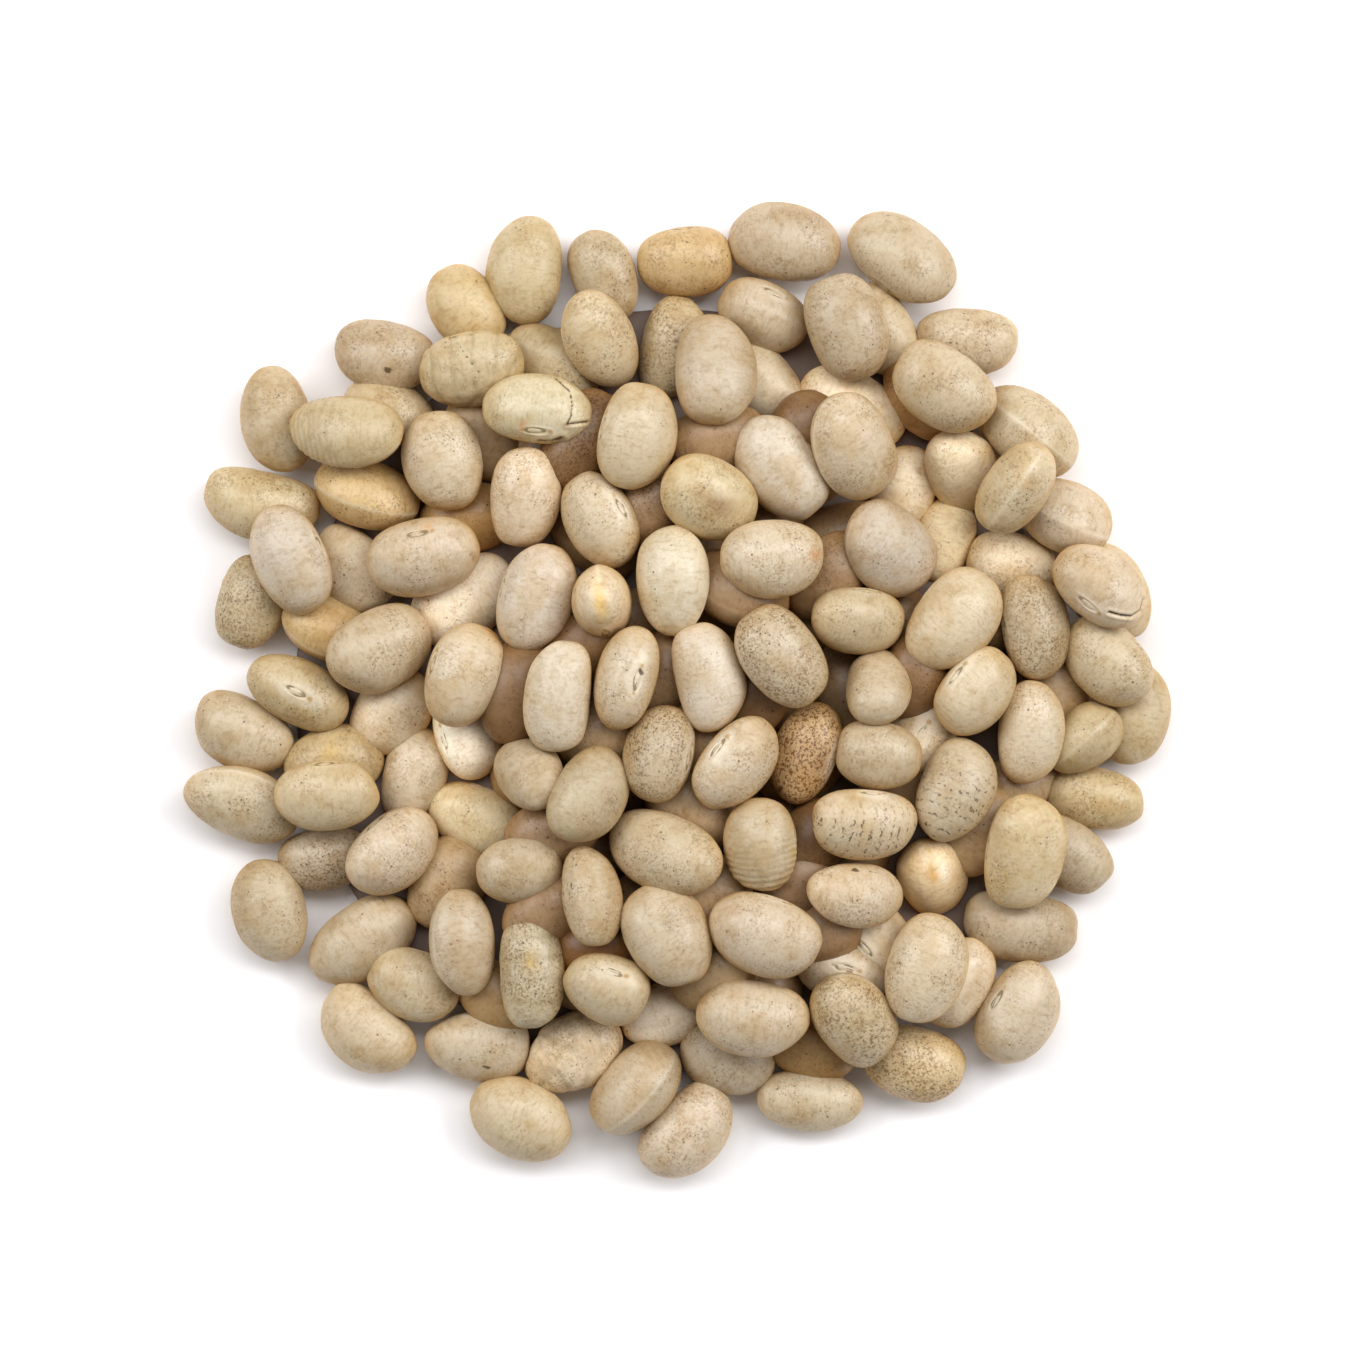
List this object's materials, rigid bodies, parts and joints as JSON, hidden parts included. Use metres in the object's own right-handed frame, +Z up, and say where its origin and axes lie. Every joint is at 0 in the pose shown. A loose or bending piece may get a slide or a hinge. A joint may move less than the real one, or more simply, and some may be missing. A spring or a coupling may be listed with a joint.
{
  "type": "heap of dried beans",
  "caption": "Low loose heap of dried cream-coloured beans lying on a flat surface, with single beans standing out round its uneven outline.",
  "frame": {"origin": "middle of the heap's outline on the surface that it lies on", "axes": "+Z up; +Y away from the near edge as the heap is seen from straight above, +X to its right"},
  "size_m": [0.0996, 0.0982, 0.0168],
  "materials": {
    "dried_bean_coat": "satin cream seed coat, mottled and lightly specked"
  },
  "bodies": {
    "root": {"bean_heap": "dried_bean_coat"}
  },
  "joints": []
}
